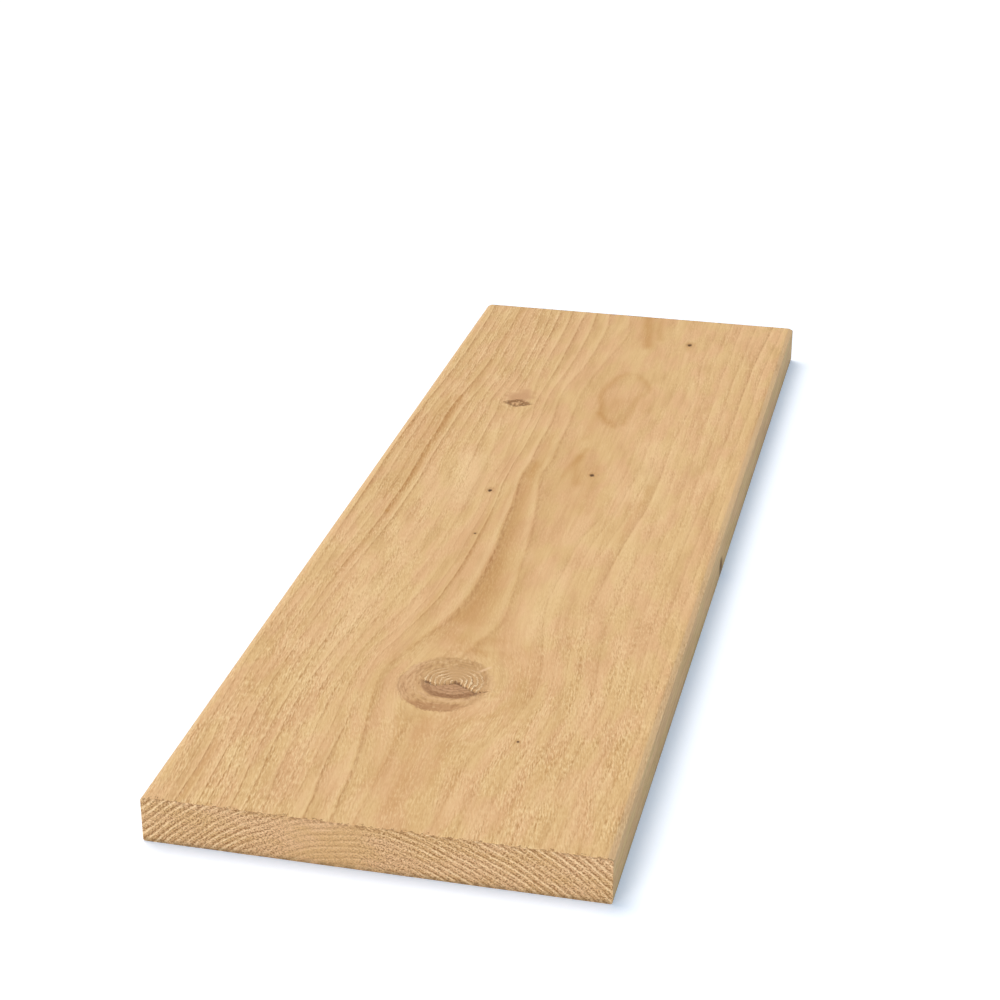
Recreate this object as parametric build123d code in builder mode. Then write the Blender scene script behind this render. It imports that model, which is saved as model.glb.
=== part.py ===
from build123d import *
import os

# A planed softwood board, sawn square at both ends. X runs along the grain from the
# near end to the far end, Y across the face towards the left edge, and Z up.
# The origin is in the middle of the back face, on which the board lies.

# Board section and length
length = 600.0
width = 195.0
thickness = 21.0
face_arris_radius = 3.0
back_arris_radius = 1.0

# Round knot in the face, placed by the middle of its drying check
face_knot_from_near_end = 115.5
face_knot_from_right_edge = 91.5
check_length = 23.0
check_width = 0.9
check_depth = 1.6
check_turn = 86.0

# Pin knots in the face: distance from an end, distance from the right edge, mouth radius
near_pin_knots = ((322.3, 126.4, 0.9), (353.4, 78.5, 1.1))
far_pin_knots = ((43.1, 57.9, 1.0),)
pin_knot_depth = 1.2
pin_knot_taper = 25.0

# Knot in the right edge, shrunk back below the planed surface
edge_knot_from_near_end = 293.0
edge_knot_height = 6.8
edge_knot_radius = 4.8
edge_knot_depth = 1.2
edge_knot_taper = 30.0

near_end = -length / 2
far_end = length / 2
right_edge = -width / 2

section_plane = Plane(origin=(near_end, 0, 0), x_dir=(0, 1, 0), z_dir=(1, 0, 0))
check_plane = Plane(
    origin=(near_end + face_knot_from_near_end, right_edge + face_knot_from_right_edge, thickness)
)
edge_knot_plane = Plane(
    origin=(near_end + edge_knot_from_near_end, right_edge, edge_knot_height),
    x_dir=(1, 0, 0),
    z_dir=(0, -1, 0),
)


def pin_knot_places():
    """Give each pin knot as its place along X, its place along Y and its radius."""
    places = []
    for from_end, from_edge, radius in near_pin_knots:
        places.append((near_end + from_end, right_edge + from_edge, radius))
    for from_end, from_edge, radius in far_pin_knots:
        places.append((far_end - from_end, right_edge + from_edge, radius))
    return places


with BuildPart() as plank:
    # The planed section, with its softened arrises, run along the grain
    with BuildSketch(section_plane):
        Rectangle(width, thickness, align=(Align.CENTER, Align.MIN))
        fillet(vertices().group_by(Axis.Y)[-1], face_arris_radius)
        fillet(vertices().group_by(Axis.Y)[0], back_arris_radius)
    extrude(amount=length)

    # The drying check: a slit, pointed at both ends, that opens across the face knot
    with BuildSketch(check_plane.rotated((0, 0, check_turn))):
        with BuildLine():
            ThreePointArc((-check_length / 2, 0), (0, check_width / 2), (check_length / 2, 0))
            ThreePointArc((check_length / 2, 0), (0, -check_width / 2), (-check_length / 2, 0))
        make_face()
    extrude(amount=-check_depth, mode=Mode.SUBTRACT)

    # Pin knots: small tapered pits in the face
    for along, across, radius in pin_knot_places():
        with BuildSketch(Plane(origin=(along, across, thickness))):
            Circle(radius)
        extrude(amount=-pin_knot_depth, taper=pin_knot_taper, mode=Mode.SUBTRACT)

    # The edge knot: a shallow round hollow in the right edge
    with BuildSketch(edge_knot_plane):
        Circle(edge_knot_radius)
    extrude(amount=-edge_knot_depth, taper=edge_knot_taper, mode=Mode.SUBTRACT)

plank.part.label = "plank"

os.makedirs("parts", exist_ok=True)
export_step(plank.part, "parts/plank.step")
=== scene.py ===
import math

import bpy
import numpy as np
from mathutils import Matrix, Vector
from mathutils.geometry import delaunay_2d_cdt


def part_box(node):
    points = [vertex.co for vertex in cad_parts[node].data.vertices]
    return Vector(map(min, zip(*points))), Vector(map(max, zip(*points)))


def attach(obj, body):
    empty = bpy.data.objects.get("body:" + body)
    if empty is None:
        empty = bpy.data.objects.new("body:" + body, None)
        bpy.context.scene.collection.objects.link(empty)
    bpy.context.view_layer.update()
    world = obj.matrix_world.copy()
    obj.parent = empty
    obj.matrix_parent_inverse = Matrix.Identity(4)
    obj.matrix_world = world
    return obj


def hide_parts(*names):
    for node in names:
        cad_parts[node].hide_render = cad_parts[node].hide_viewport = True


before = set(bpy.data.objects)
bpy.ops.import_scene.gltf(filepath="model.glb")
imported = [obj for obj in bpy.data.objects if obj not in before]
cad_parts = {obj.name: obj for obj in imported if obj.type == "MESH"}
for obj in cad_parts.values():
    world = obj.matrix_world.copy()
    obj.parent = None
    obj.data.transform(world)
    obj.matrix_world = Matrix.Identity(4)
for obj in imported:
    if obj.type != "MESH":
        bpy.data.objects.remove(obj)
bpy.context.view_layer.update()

# One planed softwood board. Places on it are in millimetres in the board's own frame:
# x along the grain from the near end (negative) to the far end, y across the face
# towards the left edge, z up from the back face. Meshes are in metres.
MM = 0.001
low, high = (np.array(corner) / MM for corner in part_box("plank"))
LENGTH, WIDTH, THICK = (high - low).tolist()
HALF_LENGTH = LENGTH / 2
HALF_WIDTH = WIDTH / 2
# The face's arrises are eased: a shallow slope this wide and deep, with a crisp lower corner
ARRIS_WIDE = 2.7
ARRIS_DEEP = 1.3
ARRIS_SHARES = (0.2, 0.6, 1.0)
ARRIS_CURVE = 1.2
SHOULDER = THICK - ARRIS_DEEP
BACK_ARRIS = 1.0

# The tree: its pith runs below the board, and its rings are this far apart
PITH_Y = 0.0
PITH_Z = -80.0
RING_PITCH = 2.75

# Growth-ring lines on the face: the ring's number, how dark it shows, its points x, y, x, y...
# Numbers rise outwards from the flat-sawn middle of the face to both edges.
GRAIN_LINES = (
    (14, 0.95, (300, 93, 260, 91.5, 200, 91, 160, 92.5, 120, 94, 60, 94.5, 0, 93.5)),
    (14, 0.45, (-60, 93, -140, 93.5, -220, 92, -250, 89.5, -300, 87.5)),
    (15, 0.35, (-250, 94, -300, 91.5)),
    (13, 0.50, (300, 86.5, 240, 85.5, 200, 85.5, 140, 88, 60, 88.5, 0, 87)),
    (13, 0.35, (-100, 87.5, -160, 90, -200, 88.5)),
    (13, 0.95, (-250, 84.5, -265, 83.4, -280, 83.1, -300, 83)),
    (12, 0.45, (300, 81.5, 240, 80, 200, 79.5, 140, 82.5, 60, 82.5, 0, 81.5)),
    (12, 0.35, (-100, 83.5, -200, 85, -240, 82, -300, 78.3)),
    (11, 0.75, (300, 76, 240, 74.5, 200, 73.5, 170, 75)),
    (11, 1.00, (140, 77.2, 120, 78, 100, 77, 60, 77, 20, 75.6, 0, 76, -20, 76)),
    (11, 0.70, (-60, 78, -100, 80)),
    (11, 0.35, (-160, 81, -200, 80.5)),
    (11, 0.70, (-240, 78, -270, 75.5, -300, 73.5)),
    (10, 0.50, (300, 71, 260, 69, 200, 67.3, 160, 68.5)),
    (10, 0.70, (-205, 76, -220, 75, -240, 73, -262, 70.8, -280, 70.3, -300, 69.5)),
    (9, 0.50, (300, 66.5, 260, 64.5, 200, 61.5, 160, 63)),
    (9, 0.40, (-200, 70.5, -240, 68.5, -270, 66.5, -300, 65)),
    (8, 0.60, (300, 62, 260, 58.5, 200, 56, 160, 57.5)),
    (8, 0.80, (-205, 65, -225, 64.5, -240, 64, -255, 63.5, -265, 62.8, -280, 61, -300, 59.5)),
    (7, 0.80, (300, 56, 280, 54, 240, 51.8, 200, 51)),
    (7, 0.60, (175, 51, 155, 52.5, 140, 53, 128, 51)),
    (7, 0.65, (-200, 60.3, -215, 60, -230, 59.3, -245, 58.4, -260, 57.3, -275, 56, -300, 54.5)),
    (6, 0.90, (300, 49.8, 280, 48.8, 240, 47.5, 200, 46.5)),
    (6, 0.25, (175, 46.5, 160, 47.5, 120, 46, 60, 40.5, 0, 39, -100, 44)),
    (6, 0.35, (-160, 51, -200, 53.5, -240, 52)),
    (6, 0.60, (-270, 49.5, -285, 47.6, -300, 46.5)),
    (5, 0.65, (300, 43, 280, 41, 240, 40, 200, 40)),
    (5, 0.25, (175, 38.5, 160, 36.5, 120, 35, 60, 31.5, 0, 30, -100, 35)),
    (5, 0.35, (-160, 45.5, -200, 47, -240, 44.5, -300, 40.5)),
    (4, 0.72, (300, 33.5, 280, 33.3, 240, 32.2, 200, 31.7, 180, 32, 160, 32.5)),
    (4, 0.30, (140, 32, 120, 29.5, 60, 28.3, 0, 26.5, -60, 26.5, -100, 28.5)),
    (4, 0.35, (-135, 34.5, -160, 41, -185, 42, -220, 39.5, -260, 37.5, -300, 35.5)),
    (3, 0.60, (300, 26.5, 280, 25.3, 240, 24.2)),
    (3, 0.38, (200, 25, 175, 26.5, 150, 27)),
    (3, 0.60, (120, 25.2, 100, 25, 60, 25.5, 30, 25, 0, 23)),
    (3, 0.85, (-30, 22.5, -60, 22.5, -90, 23.8, -112, 26)),
    (3, 0.45, (-128, 28.8)),
    (3, 0.25, (-140, 31.5, -160, 36, -185, 37.5, -215, 34.5)),
    (3, 0.75, (-243, 33, -255, 32.5, -270, 31.5, -280, 30.2, -300, 29)),
    (2, 0.50, (300, 18.5, 280, 15.8, 240, 15)),
    (2, 0.30, (200, 17, 175, 20, 150, 20)),
    (2, 0.62, (120, 17.5, 60, 16.8, 45, 18)),
    (2, 0.90, (30, 16.5, 10, 14.6, -10, 13.5, -30, 12.2, -50, 11.2, -70, 10.6)),
    (2, 0.70, (-100, 11.5, -115, 13.5)),
    (2, 0.30, (-130, 18, -142, 21.5, -160, 27, -182, 31, -205, 28.3)),
    (2, 0.65, (-230, 24.3, -240, 23, -250, 21.5, -262, 20.2, -280, 19.2, -300, 18)),
    (1, 0.25, (262, 1, 240, 3.5, 200, 7.5, 150, 9)),
    (1, 0.50, (100, 7.6, 60, 6.6, 50, 8.2, 35, 6.5, 20, 3.5, 0, 0.8, -15, -1)),
    (1, 0.42, (-35, -3.5, -60, -5.6, -80, -7.8, -100, -9.2, -120, -9.8, -131, -7)),
    (1, 0.20, (-215, 9, -240, 9, -300, 8)),
    (0, 0.08, (200, -12, 190, -9, 180, -4.5, 170, -2.3, 160, -2.8, 140, -6.5, 120, -9)),
    (0, 0.08, (201, -20, 190, -26, 180, -28.6, 170, -28.5, 160, -25, 140, -24.5)),
    (-0.6, 0.00, (186, -17, 170, -15, 152, -14)),
    (0.3, 0.00, (300, -8, 260, -12, 235, -15, 214, -15, 103, -16, 60, -22, 0, -20, -60, -17)),
    (0.3, 0.00, (-112, -20, -250, -4, -300, -6)),
    (1, 0.16, (300, -24, 260, -30, 210, -33, 160, -35, 100, -36, 60, -37)),
    (1, 0.10, (0, -34, -60, -28, -100, -28)),
    (1, 0.22, (-130, -33, -155, -38, -182, -40, -205, -37, -230, -29, -260, -24.5, -300, -24)),
    (2, 0.13, (300, -36, 200, -42, 100, -42)),
    (2, 0.28, (40, -41.5, 0, -39.5, -20, -36.5, -50, -34.5)),
    (2, 0.16, (-100, -34.5, -140, -42, -182, -46.5, -220, -42, -260, -35, -300, -34)),
    (3, 0.10, (300, -46, 200, -49, 100, -48, 0, -46, -100, -42)),
    (3, 0.22, (-182, -52.5, -220, -49, -260, -43.5, -300, -43)),
    (4, 0.22, (300, -53, 220, -52, 160, -56, 100, -54.5)),
    (4, 0.55, (40, -55.3, 20, -55, 0, -53.3, -20, -51.8, -40, -50.5)),
    (4, 0.22, (-100, -49.5, -140, -53, -182, -58.5, -215, -57, -250, -52.5, -300, -50)),
    (5, 0.16, (300, -60, 200, -60, 100, -61.5)),
    (5, 0.23, (20, -63, 0, -63, -40, -61, -100, -60, -182, -65.5, -220, -63.5)),
    (5, 0.24, (-260, -59, -300, -57)),
    (6, 0.29, (300, -66.5, 240, -67, 180, -66.8, 120, -68)),
    (6, 0.26, (-220, -69.5, -260, -65, -300, -63)),
    (7, 0.32, (300, -75.5, 260, -74.5, 200, -73.8, 120, -75)),
    (7, 0.26, (-220, -75, -260, -71, -300, -68.5)),
    (8, 0.72, (300, -85.5, 280, -84.7, 260, -83.7, 240, -82.8, 200, -82.2, 150, -82.5)),
    (8, 0.25, (100, -82, 0, -81, -100, -80)),
    (8, 0.24, (-182, -82.5, -240, -78.5, -300, -74)),
    (9, 0.32, (300, -92, 240, -89.5, 150, -89, 0, -86.5, -100, -85.5)),
    (9, 0.24, (-182, -87, -240, -83.5, -300, -79)),
    (10, 0.29, (300, -97.5, 200, -95, 0, -92, -182, -91, -240, -88.5, -300, -84)),
    (11, 0.24, (0, -97, -182, -95.5, -240, -93, -300, -89)),
    (12, 0.24, (-240, -97.5, -300, -93.5)),
)
GRAIN_STRETCH = 0.3
GRAIN_SMOOTHING = 0.006
# Keeps the logarithm of no gap finite
TINY = 1e-9
# A line's darkness holds this far along the board, this far across it and for this much of a ring
DARK_REACH = (22.0, 14.0, 0.3)
DARK_MIDDLE = 0.3
DARK_ELSEWHERE = 0.15
DARK_ELSEWHERE_WEIGHT = 0.01

# Soft brown bands, and pale ones with a negative depth: depth, half width, points x, y, x, y...
SOFT_BANDS = (
    (0.15, 24.0, (300, -8, 200, -8, 100, -6, 0, 4, -120, 2)),
    (0.14, 12.0, (-212, -4, -300, -8)),
    (0.10, 26.0, (300, 62, 200, 68, 60, 88)),
    (-0.10, 14.0, (100, -58, 0, -60, -100, -58)),
    (-0.12, 10.0, (60, 50, 0, 52, -140, 56)),
    (0.44, 4.8, (60, 13, 20, 12, -10, 9.5, -30, 8, -50, 6.5, -80, 5, -105, 6, -122, 10)),
    (0.26, 7.5, (-60, 2, -90, 0, -120, 1)),
    (0.30, 3.0, (100, 14, 70, 13, 45, 13)),
    (0.85, 2.3, (145, 76.5, 110, 76.5, 60, 75.8, 20, 74.6, -15, 75)),
    (0.38, 1.7, (150, 83, 100, 83.3, 40, 82, 0, 81.5)),
    (0.38, 1.6, (140, 93.5, 60, 94, 0, 93.2)),
    (0.46, 1.7, (-15, 75.2, -60, 77.3, -97, 80.7, -120, 81.5)),
    (0.52, 1.4, (0, 22.8, -40, 22.0, -70, 22.2, -90, 23.8, -112, 26.5, -126, 29)),
    (0.45, 3.0, (258, -39.6, 248, -39.9)),
    (0.30, 2.4, (300, 75, 250, 73, 200, 72, 150, 75)),
    (0.25, 3.0, (280, 88, 240, 86, 200, 86.5, 170, 88)),
    (0.75, 3.6, (300, -7, 280, -9.5, 262, -13, 248, -15)),
    (0.40, 2.5, (300, -15, 280, -17, 262, -20)),
    (0.60, 2.3, (200, -10.6, 194, -6.9, 184, -4.4, 174, -2, 162, -2.5, 150, -5.6, 138, -7,
                 129, -11.3, 122, -17.5)),
    (0.42, 1.7, (199, -17.5, 191, -23.8, 182, -28.1, 175, -28.1, 169, -23.8, 157, -23.1,
                 145, -23.8, 134, -22.5, 125, -23.1)),
    (0.32, 5.5, (158, -13.5, 145, -14, 130, -15.5)),
    (0.24, 3.8, (162, -30, 148, -31)),
    (0.30, 2.6, (138, -5.6, 100, -5.6)),
    (0.35, 1.7, (86, -10, 72, -7.5, 60, -4.5, 47, -4.5)),
    (0.45, 3.4, (76, -8, 62, -8, 50, -11, 40, -13)),
    (0.25, 7.0, (60, -19, 35, -20, 10, -22)),
    (0.42, 2.6, (45, -51.5, 20, -51, 0, -50, -25, -48.5)),
    (0.35, 3.0, (-150, -19, -158, -26, -168, -30, -180, -31.5)),
    (0.50, 2.4, (-149, 1, -149, -5, -152, -11)),
    (0.32, 4.5, (-136, 12, -141, 4, -141, -6, -137, -14)),
    (0.35, 2.2, (-130, 17, -143, 21.5, -154, 25)),
    (0.40, 3.0, (-212, 12, -228, 10, -250, 9, -270, 9)),
    (0.36, 3.4, (-214, 1, -235, -1, -262, -3, -285, -3)),
    (0.25, 3.0, (-216, -12, -240, -13, -262, -14)),
    (0.28, 2.6, (-160, 29, -178, 33, -190, 31, -205, 28, -220, 26.3, -235, 25.5)),
    (0.50, 1.8, (-252, 81.6, -275, 81, -300, 80.6)),
    (0.22, 3.0, (-160, 87, -200, 84, -215, 83)),
    (0.20, 3.0, (-172, 75, -200, 77)),
    (0.34, 1.5, (-213, -64.5, -235, -60, -250, -57, -265, -52.5, -292, -48.5)),
    (0.24, 1.6, (-212, -83, -235, -81.5)),
    (0.40, 1.4, (-220, -86.8, -246, -87.3)),
    (0.34, 1.6, (-250, -23.5, -280, -23.2, -297, -26)),
    (0.24, 3.2, (-143, -27, -153, -34, -170, -37.5, -188, -36, -203, -28, -212, -18)),
    (0.15, 14.0, (-122, 0, -154, 0)),
    (-0.40, 9.0, (60, 46, 35, 44, 10, 42)),
    (-0.30, 7.0, (-100, 58, -150, 60, -190, 58)),
    (-0.30, 8.0, (-60, -25, -100, -26, -130, -28)),
    (-0.30, 3.0, (-212, -22, -222, -16, -228, -8)),
    (-0.30, 6.0, (100, -45, 60, -47, 30, -46)),
)

# Knots: middle (x, y) on the face
BIG_KNOT = (-182.0, 0.0)
BIG_KNOT_RADII = (24.5, 22.0)
BIG_KNOT_PITH = (-179.2, -2.7)
BIG_KNOT_HEART = 14.6
KNOT_RING_PITCH = 2.35
SMALL_KNOT = (142.3, 42.0)
SMALL_KNOT_RADII = (5.4, 7.2)
# The drying check across the big knot: its points (x, y)
CHECK = ((-180.8, 11), (-182, 8), (-183.4, 5), (-182, 1), (-180.6, -2), (-179.4, -3.5), (-181.6, -7),
         (-184, -11), (-186, -14), (-185, -17), (-184, -19.5))
# The middle of a pale ray in the big knot, and of the crumbs of bark beside its check
RAY_AT = (-166.2, -13.2)
CRUMBS_AT = (-188.0, -13.0)
# Pin knots: middle (x, y), half length, half width
PIN_KNOTS = ((22.3, 29.3, 2.0, 1.3), (53.4, -19.0, 2.1, 1.4), (256.9, -39.6, 2.6, 1.5),
             (-30.3, 24.5, 0.9, 0.8), (-222.9, -41.9, 0.9, 0.8))
# The knot in the right edge: middle (x, z), radius
EDGE_KNOT = (-7.0, 6.8)
EDGE_KNOT_RADIUS = 4.8
# How the fibres part round a knot: middle (x, y), strength, reach along and across
FLOW_ROUND = ((-182, 0, 0.72, 40, 30), (142.3, 42, 0.7, 16, 11), (22.3, 29.3, 0.5, 6, 3.5),
              (53.4, -19, 0.5, 7, 4), (256.9, -39.6, 0.6, 9, 5))

# How many more rings rise on the right of a sawn end, as its arch's top lies left of the middle
END_LEAN = 4.0

# Depths and heights of the relief, in millimetres
HEART_RISE = 0.03
HEART_RIDGE = 0.13
HEART_SHRUNK = 0.16
CHECK_DEEP = 1.1
SMALL_KNOT_DEEP = 0.35
PIN_KNOT_DEEP = 1.1
EDGE_KNOT_DEEP = 0.9
# How far a sawn end is worn back: everywhere, more in soft earlywood, and in wide patches
END_WEAR = 0.05
END_WEAR_SOFT = 0.10
END_WEAR_WIDE = 0.06
# How much of that wear the face's own rim loses in height
TORN_SHARE = 0.8

SEED = 20
# Noise repeats after this many cells
LATTICE = 64


def lattice_noise(points, seed):
    """Smooth noise from 0 to 1 over any number of rows (a, b), with a cell one unit wide."""
    rng = np.random.RandomState(seed)
    table = rng.rand(LATTICE, LATTICE)
    cell = np.floor(points).astype(int)
    part = points - cell
    along, across = (part * part * (3 - 2 * part)).T
    a0, b0 = cell.T % LATTICE
    a1, b1 = (cell.T + 1) % LATTICE
    near = table[a0, b0] * (1 - across) + table[a0, b1] * across
    far = table[a1, b0] * (1 - across) + table[a1, b1] * across
    return near * (1 - along) + far * along


def smooth_step(value, start, end):
    """0 before start, 1 after end, with a smooth way between."""
    share = np.clip((value - start) / (end - start), 0, 1)
    return share * share * (3 - 2 * share)


class RingField:
    """The board's growth rings: a thin-plate surface through the grain lines on the face,
    carried through the thickness on circles about the pith."""

    def __init__(self):
        rings, darks, lines = zip(*GRAIN_LINES)
        counts = [len(line) // 2 for line in lines]
        self.spots = np.reshape(np.concatenate(lines), (-1, 2))
        self.rings = np.repeat(rings, counts)
        self.darks = np.repeat(darks, counts)
        self.scaled = self.spots * (GRAIN_STRETCH, 1.0)
        count = len(self.spots)
        plane = np.column_stack([np.ones(count), self.scaled])
        system = np.zeros((count + 3, count + 3))
        system[:count, :count] = self.kernel(self.scaled)
        system[:count, :count] += GRAIN_SMOOTHING * count * np.eye(count)
        system[:count, count:] = plane
        system[count:, :count] = plane.T
        self.weights = np.linalg.solve(system, np.concatenate([self.rings, np.zeros(3)]))

    def kernel(self, points):
        gap = ((points[:, None, :] - self.scaled[None, :, :]) ** 2).sum(-1)
        return 0.5 * gap * np.log(gap + TINY)

    def on_face(self, x, y):
        points = np.column_stack([x * GRAIN_STRETCH, y])
        count = len(self.spots)
        plane = np.column_stack([np.ones(len(points)), points])
        return self.kernel(points) @ self.weights[:count] + plane @ self.weights[count:]

    def at(self, x, y, z):
        radius = np.hypot(y - PITH_Y, z - PITH_Z)
        face_radius = np.hypot(y - PITH_Y, THICK - PITH_Z)
        return self.on_face(x, y) + (radius - face_radius) / RING_PITCH

    def darkness(self, x, y, rings):
        """How dark the line shows that closes the ring at each point, from the same line's points."""
        gap_x = (x[:, None] - self.spots[None, :, 0]) / DARK_REACH[0]
        gap_y = (y[:, None] - self.spots[None, :, 1]) / DARK_REACH[1]
        gap_ring = (rings[:, None] + DARK_MIDDLE - self.rings[None, :]) / DARK_REACH[2]
        weight = np.exp(-0.5 * (gap_x**2 + gap_y**2 + gap_ring**2))
        total = weight.sum(1) + DARK_ELSEWHERE_WEIGHT
        return (weight @ self.darks + DARK_ELSEWHERE_WEIGHT * DARK_ELSEWHERE) / total


def band_depth(x, y):
    """Sum of the soft bands' depths at each point of the face."""
    depth = np.zeros(len(x))
    spots = np.column_stack([x, y])
    for strength, reach, line in SOFT_BANDS:
        line = np.reshape(line, (-1, 2))
        gap = np.full(len(x), np.inf)
        for start, end in zip(line[:-1], line[1:]):
            way = end - start
            share = np.clip(((spots - start) @ way) / (way @ way), 0, 1)
            gap = np.minimum(gap, np.hypot(*(spots - start - share[:, None] * way).T))
        depth += strength * np.exp(-((gap / reach) ** 2))
    return depth


def in_blocks(function, *columns, size=4000):
    """Run a function over long columns a block at a time, to keep its tables small."""
    count = len(columns[0])
    parts = [function(*(c[i : i + size] for c in columns)) for i in range(0, count, size)]
    return np.concatenate(parts)


# How fast the spacing of lines grows away from a fine spot
SPACING_GROWTH = 0.35


def spaced(start, end, coarse, fine_spots):
    """Lines from start to end, coarse apart, and closer within each spot (middle, reach, step)."""
    places = [start]
    while places[-1] < end:
        here = places[-1]
        step = coarse
        for middle, reach, fine in fine_spots:
            away = max(0.0, abs(here - middle) - reach)
            step = min(step, fine + SPACING_GROWTH * away)
        places.append(here + step)
    places = np.array(places)
    return start + (places - start) * (end - start) / (places[-1] - start)


# The mesh's lines along the board and across its face: close together at the knots
KNOT_STEP = 0.62
LINES_X = spaced(-HALF_LENGTH, HALF_LENGTH, 5.0, (
    (-HALF_LENGTH, 0.8, 0.4), (HALF_LENGTH, 0.8, 0.4),
    (BIG_KNOT_PITH[0] - 2, 17, KNOT_STEP), (BIG_KNOT[0], 25, 1.3),
    (SMALL_KNOT[0], 5, 0.8), (EDGE_KNOT[0], 5, 1.0),
    (PIN_KNOTS[0][0], 1.4, 0.55), (PIN_KNOTS[1][0], 1.4, 0.55), (PIN_KNOTS[2][0], 1.6, 0.6),
))
LINES_Y = spaced(-HALF_WIDTH + ARRIS_WIDE, HALF_WIDTH - ARRIS_WIDE, 1.45, (
    (BIG_KNOT_PITH[1], 16, KNOT_STEP), (SMALL_KNOT[1], 7, 0.85),
    (PIN_KNOTS[0][1], 1.2, 0.55), (PIN_KNOTS[2][1], 1.2, 0.6),
))[::-1]
BACK_ARRIS_STEPS = 3
EDGE_STEPS = 9
BACK_STEP = 5.0


def arc(centre, radius, start, end, steps):
    """Points on an arc in the section, from start to end in degrees, without its first point."""
    turn = np.radians(np.linspace(start, end, steps + 1))[1:]
    return np.column_stack([centre[0] + radius * np.cos(turn), centre[1] + radius * np.sin(turn)])


def eased(side):
    """An eased arris's points in the section, from the face out to its crisp lower corner."""
    share = np.array(ARRIS_SHARES)
    across = HALF_WIDTH - ARRIS_WIDE * (1 - share)
    return np.column_stack([side * across, THICK - ARRIS_DEEP * share**ARRIS_CURVE])


def section():
    """The board's closed section as rows (y, z): the face from left to right, the right edge,
    the back, and the left edge."""
    back_inner = HALF_WIDTH - BACK_ARRIS
    face = np.column_stack([LINES_Y, np.full(len(LINES_Y), THICK)])
    edge_z = np.linspace(SHOULDER, BACK_ARRIS, EDGE_STEPS + 1)[1:]
    right = np.column_stack([np.full(EDGE_STEPS, -HALF_WIDTH), edge_z])
    left = right[::-1] * (-1, 1)
    left = np.vstack([left[1:], [[HALF_WIDTH, SHOULDER]]])
    back_count = int(round(2 * back_inner / BACK_STEP))
    back_y = np.linspace(-back_inner, back_inner, back_count + 1)[1:]
    back = np.column_stack([back_y, np.zeros(back_count)])
    return np.vstack([
        face,
        eased(-1),
        right,
        arc((-back_inner, BACK_ARRIS), BACK_ARRIS, 180, 270, BACK_ARRIS_STEPS),
        back,
        arc((back_inner, BACK_ARRIS), BACK_ARRIS, 270, 360, BACK_ARRIS_STEPS),
        left,
        eased(1)[::-1][1:],
    ])


def check_line(y):
    """Where along the board the drying check lies, for each y."""
    points = np.array(CHECK)[::-1]
    return np.interp(y, points[:, 1], points[:, 0])


def face_relief(x, y):
    """Height of the face over its plane, in millimetres."""
    height = np.zeros(len(x))
    # The big knot: hard rings stand proud in its heart, and its lower half has shrunk
    heart = np.hypot(x - BIG_KNOT_PITH[0], y - BIG_KNOT_PITH[1])
    wander = lattice_noise(np.column_stack([x / 5, y / 5]), SEED) - 0.5
    heart = heart + 1.2 * wander
    inside = 1 - smooth_step(heart, BIG_KNOT_HEART - 1.5, BIG_KNOT_HEART + 0.5)
    upper = smooth_step(x - check_line(y), -1.0, 1.5)
    aside = smooth_step(np.abs(y - BIG_KNOT_PITH[1]) / np.maximum(heart, 1), 0.3, 0.8)
    ridges = np.cos(2 * math.pi * heart / KNOT_RING_PITCH) * (0.15 + 0.85 * aside)
    proud = HEART_RIDGE * ridges * (0.25 + 0.75 * upper)
    height += inside * (HEART_RISE + proud - HEART_SHRUNK * (1 - upper))
    # Its drying check
    along = smooth_step(y, -20.5, -17) * (1 - smooth_step(y, 8, 11.5))
    ragged = 0.6 * (lattice_noise(np.column_stack([x / 1.3, y / 1.3]), SEED + 1) - 0.5)
    slit = 1 - smooth_step(np.abs(x - check_line(y) + ragged), 0.25, 1.1)
    height -= CHECK_DEEP * along * slit
    # The small knot: a sunk rim round a firm core
    rim = np.abs(x - SMALL_KNOT[0]) / SMALL_KNOT_RADII[0] + np.abs(y - SMALL_KNOT[1]) / SMALL_KNOT_RADII[1]
    height -= SMALL_KNOT_DEEP * smooth_step(rim, 0.3, 0.55) * (1 - smooth_step(rim, 0.8, 1.1))
    # Pin knots: tapered pits
    for pin_x, pin_y, half_long, half_wide in PIN_KNOTS[:3]:
        away = np.hypot((x - pin_x) / half_long, (y - pin_y) / half_wide)
        height -= PIN_KNOT_DEEP * (1 - smooth_step(away, 0.15, 0.95))
    return height


def edge_relief(x, z):
    """Depth of the hollow that the knot in the right edge has shrunk to, in millimetres."""
    away = np.hypot(x - EDGE_KNOT[0], z - EDGE_KNOT[1]) / EDGE_KNOT_RADIUS
    return EDGE_KNOT_DEEP * (1 - smooth_step(away, 0.15, 1.05))


def grain_flow(x, y):
    """The y that a fibre at (x, y) comes from, before knots push it aside."""
    flow = y.copy()
    for knot_x, knot_y, strength, reach_x, reach_y in FLOW_ROUND:
        gap = y - knot_y
        near = np.exp(-((x - knot_x) / reach_x) ** 2 - (gap / reach_y) ** 2)
        flow -= strength * gap * near
    return flow


def end_rings(rings, y):
    """The rings on a sawn end, whose arch leans to the left."""
    return rings + END_LEAN * smooth_step(-y, -30, 50)


def end_relief(rings, y, z):
    """How far the sawn end is worn back at each point: soft earlywood more than latewood."""
    late = 0.5 + 0.5 * np.cos(2 * math.pi * (rings - 0.86))
    torn = lattice_noise(np.column_stack([y / 1.1, z / 0.8]), SEED + 2)
    wide = lattice_noise(np.column_stack([y / 4, z / 3]), SEED + 3)
    soft = (1 - late) * (0.4 + 0.6 * torn)
    return END_WEAR + END_WEAR_SOFT * soft + END_WEAR_WIDE * wide


# Spacing of the points inside a sawn end, of their rows, and their least gap to its rim
CAP_STEP = 0.86
CAP_ROW = CAP_STEP * 0.87
CAP_CLEAR = 0.55 * CAP_STEP


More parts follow.
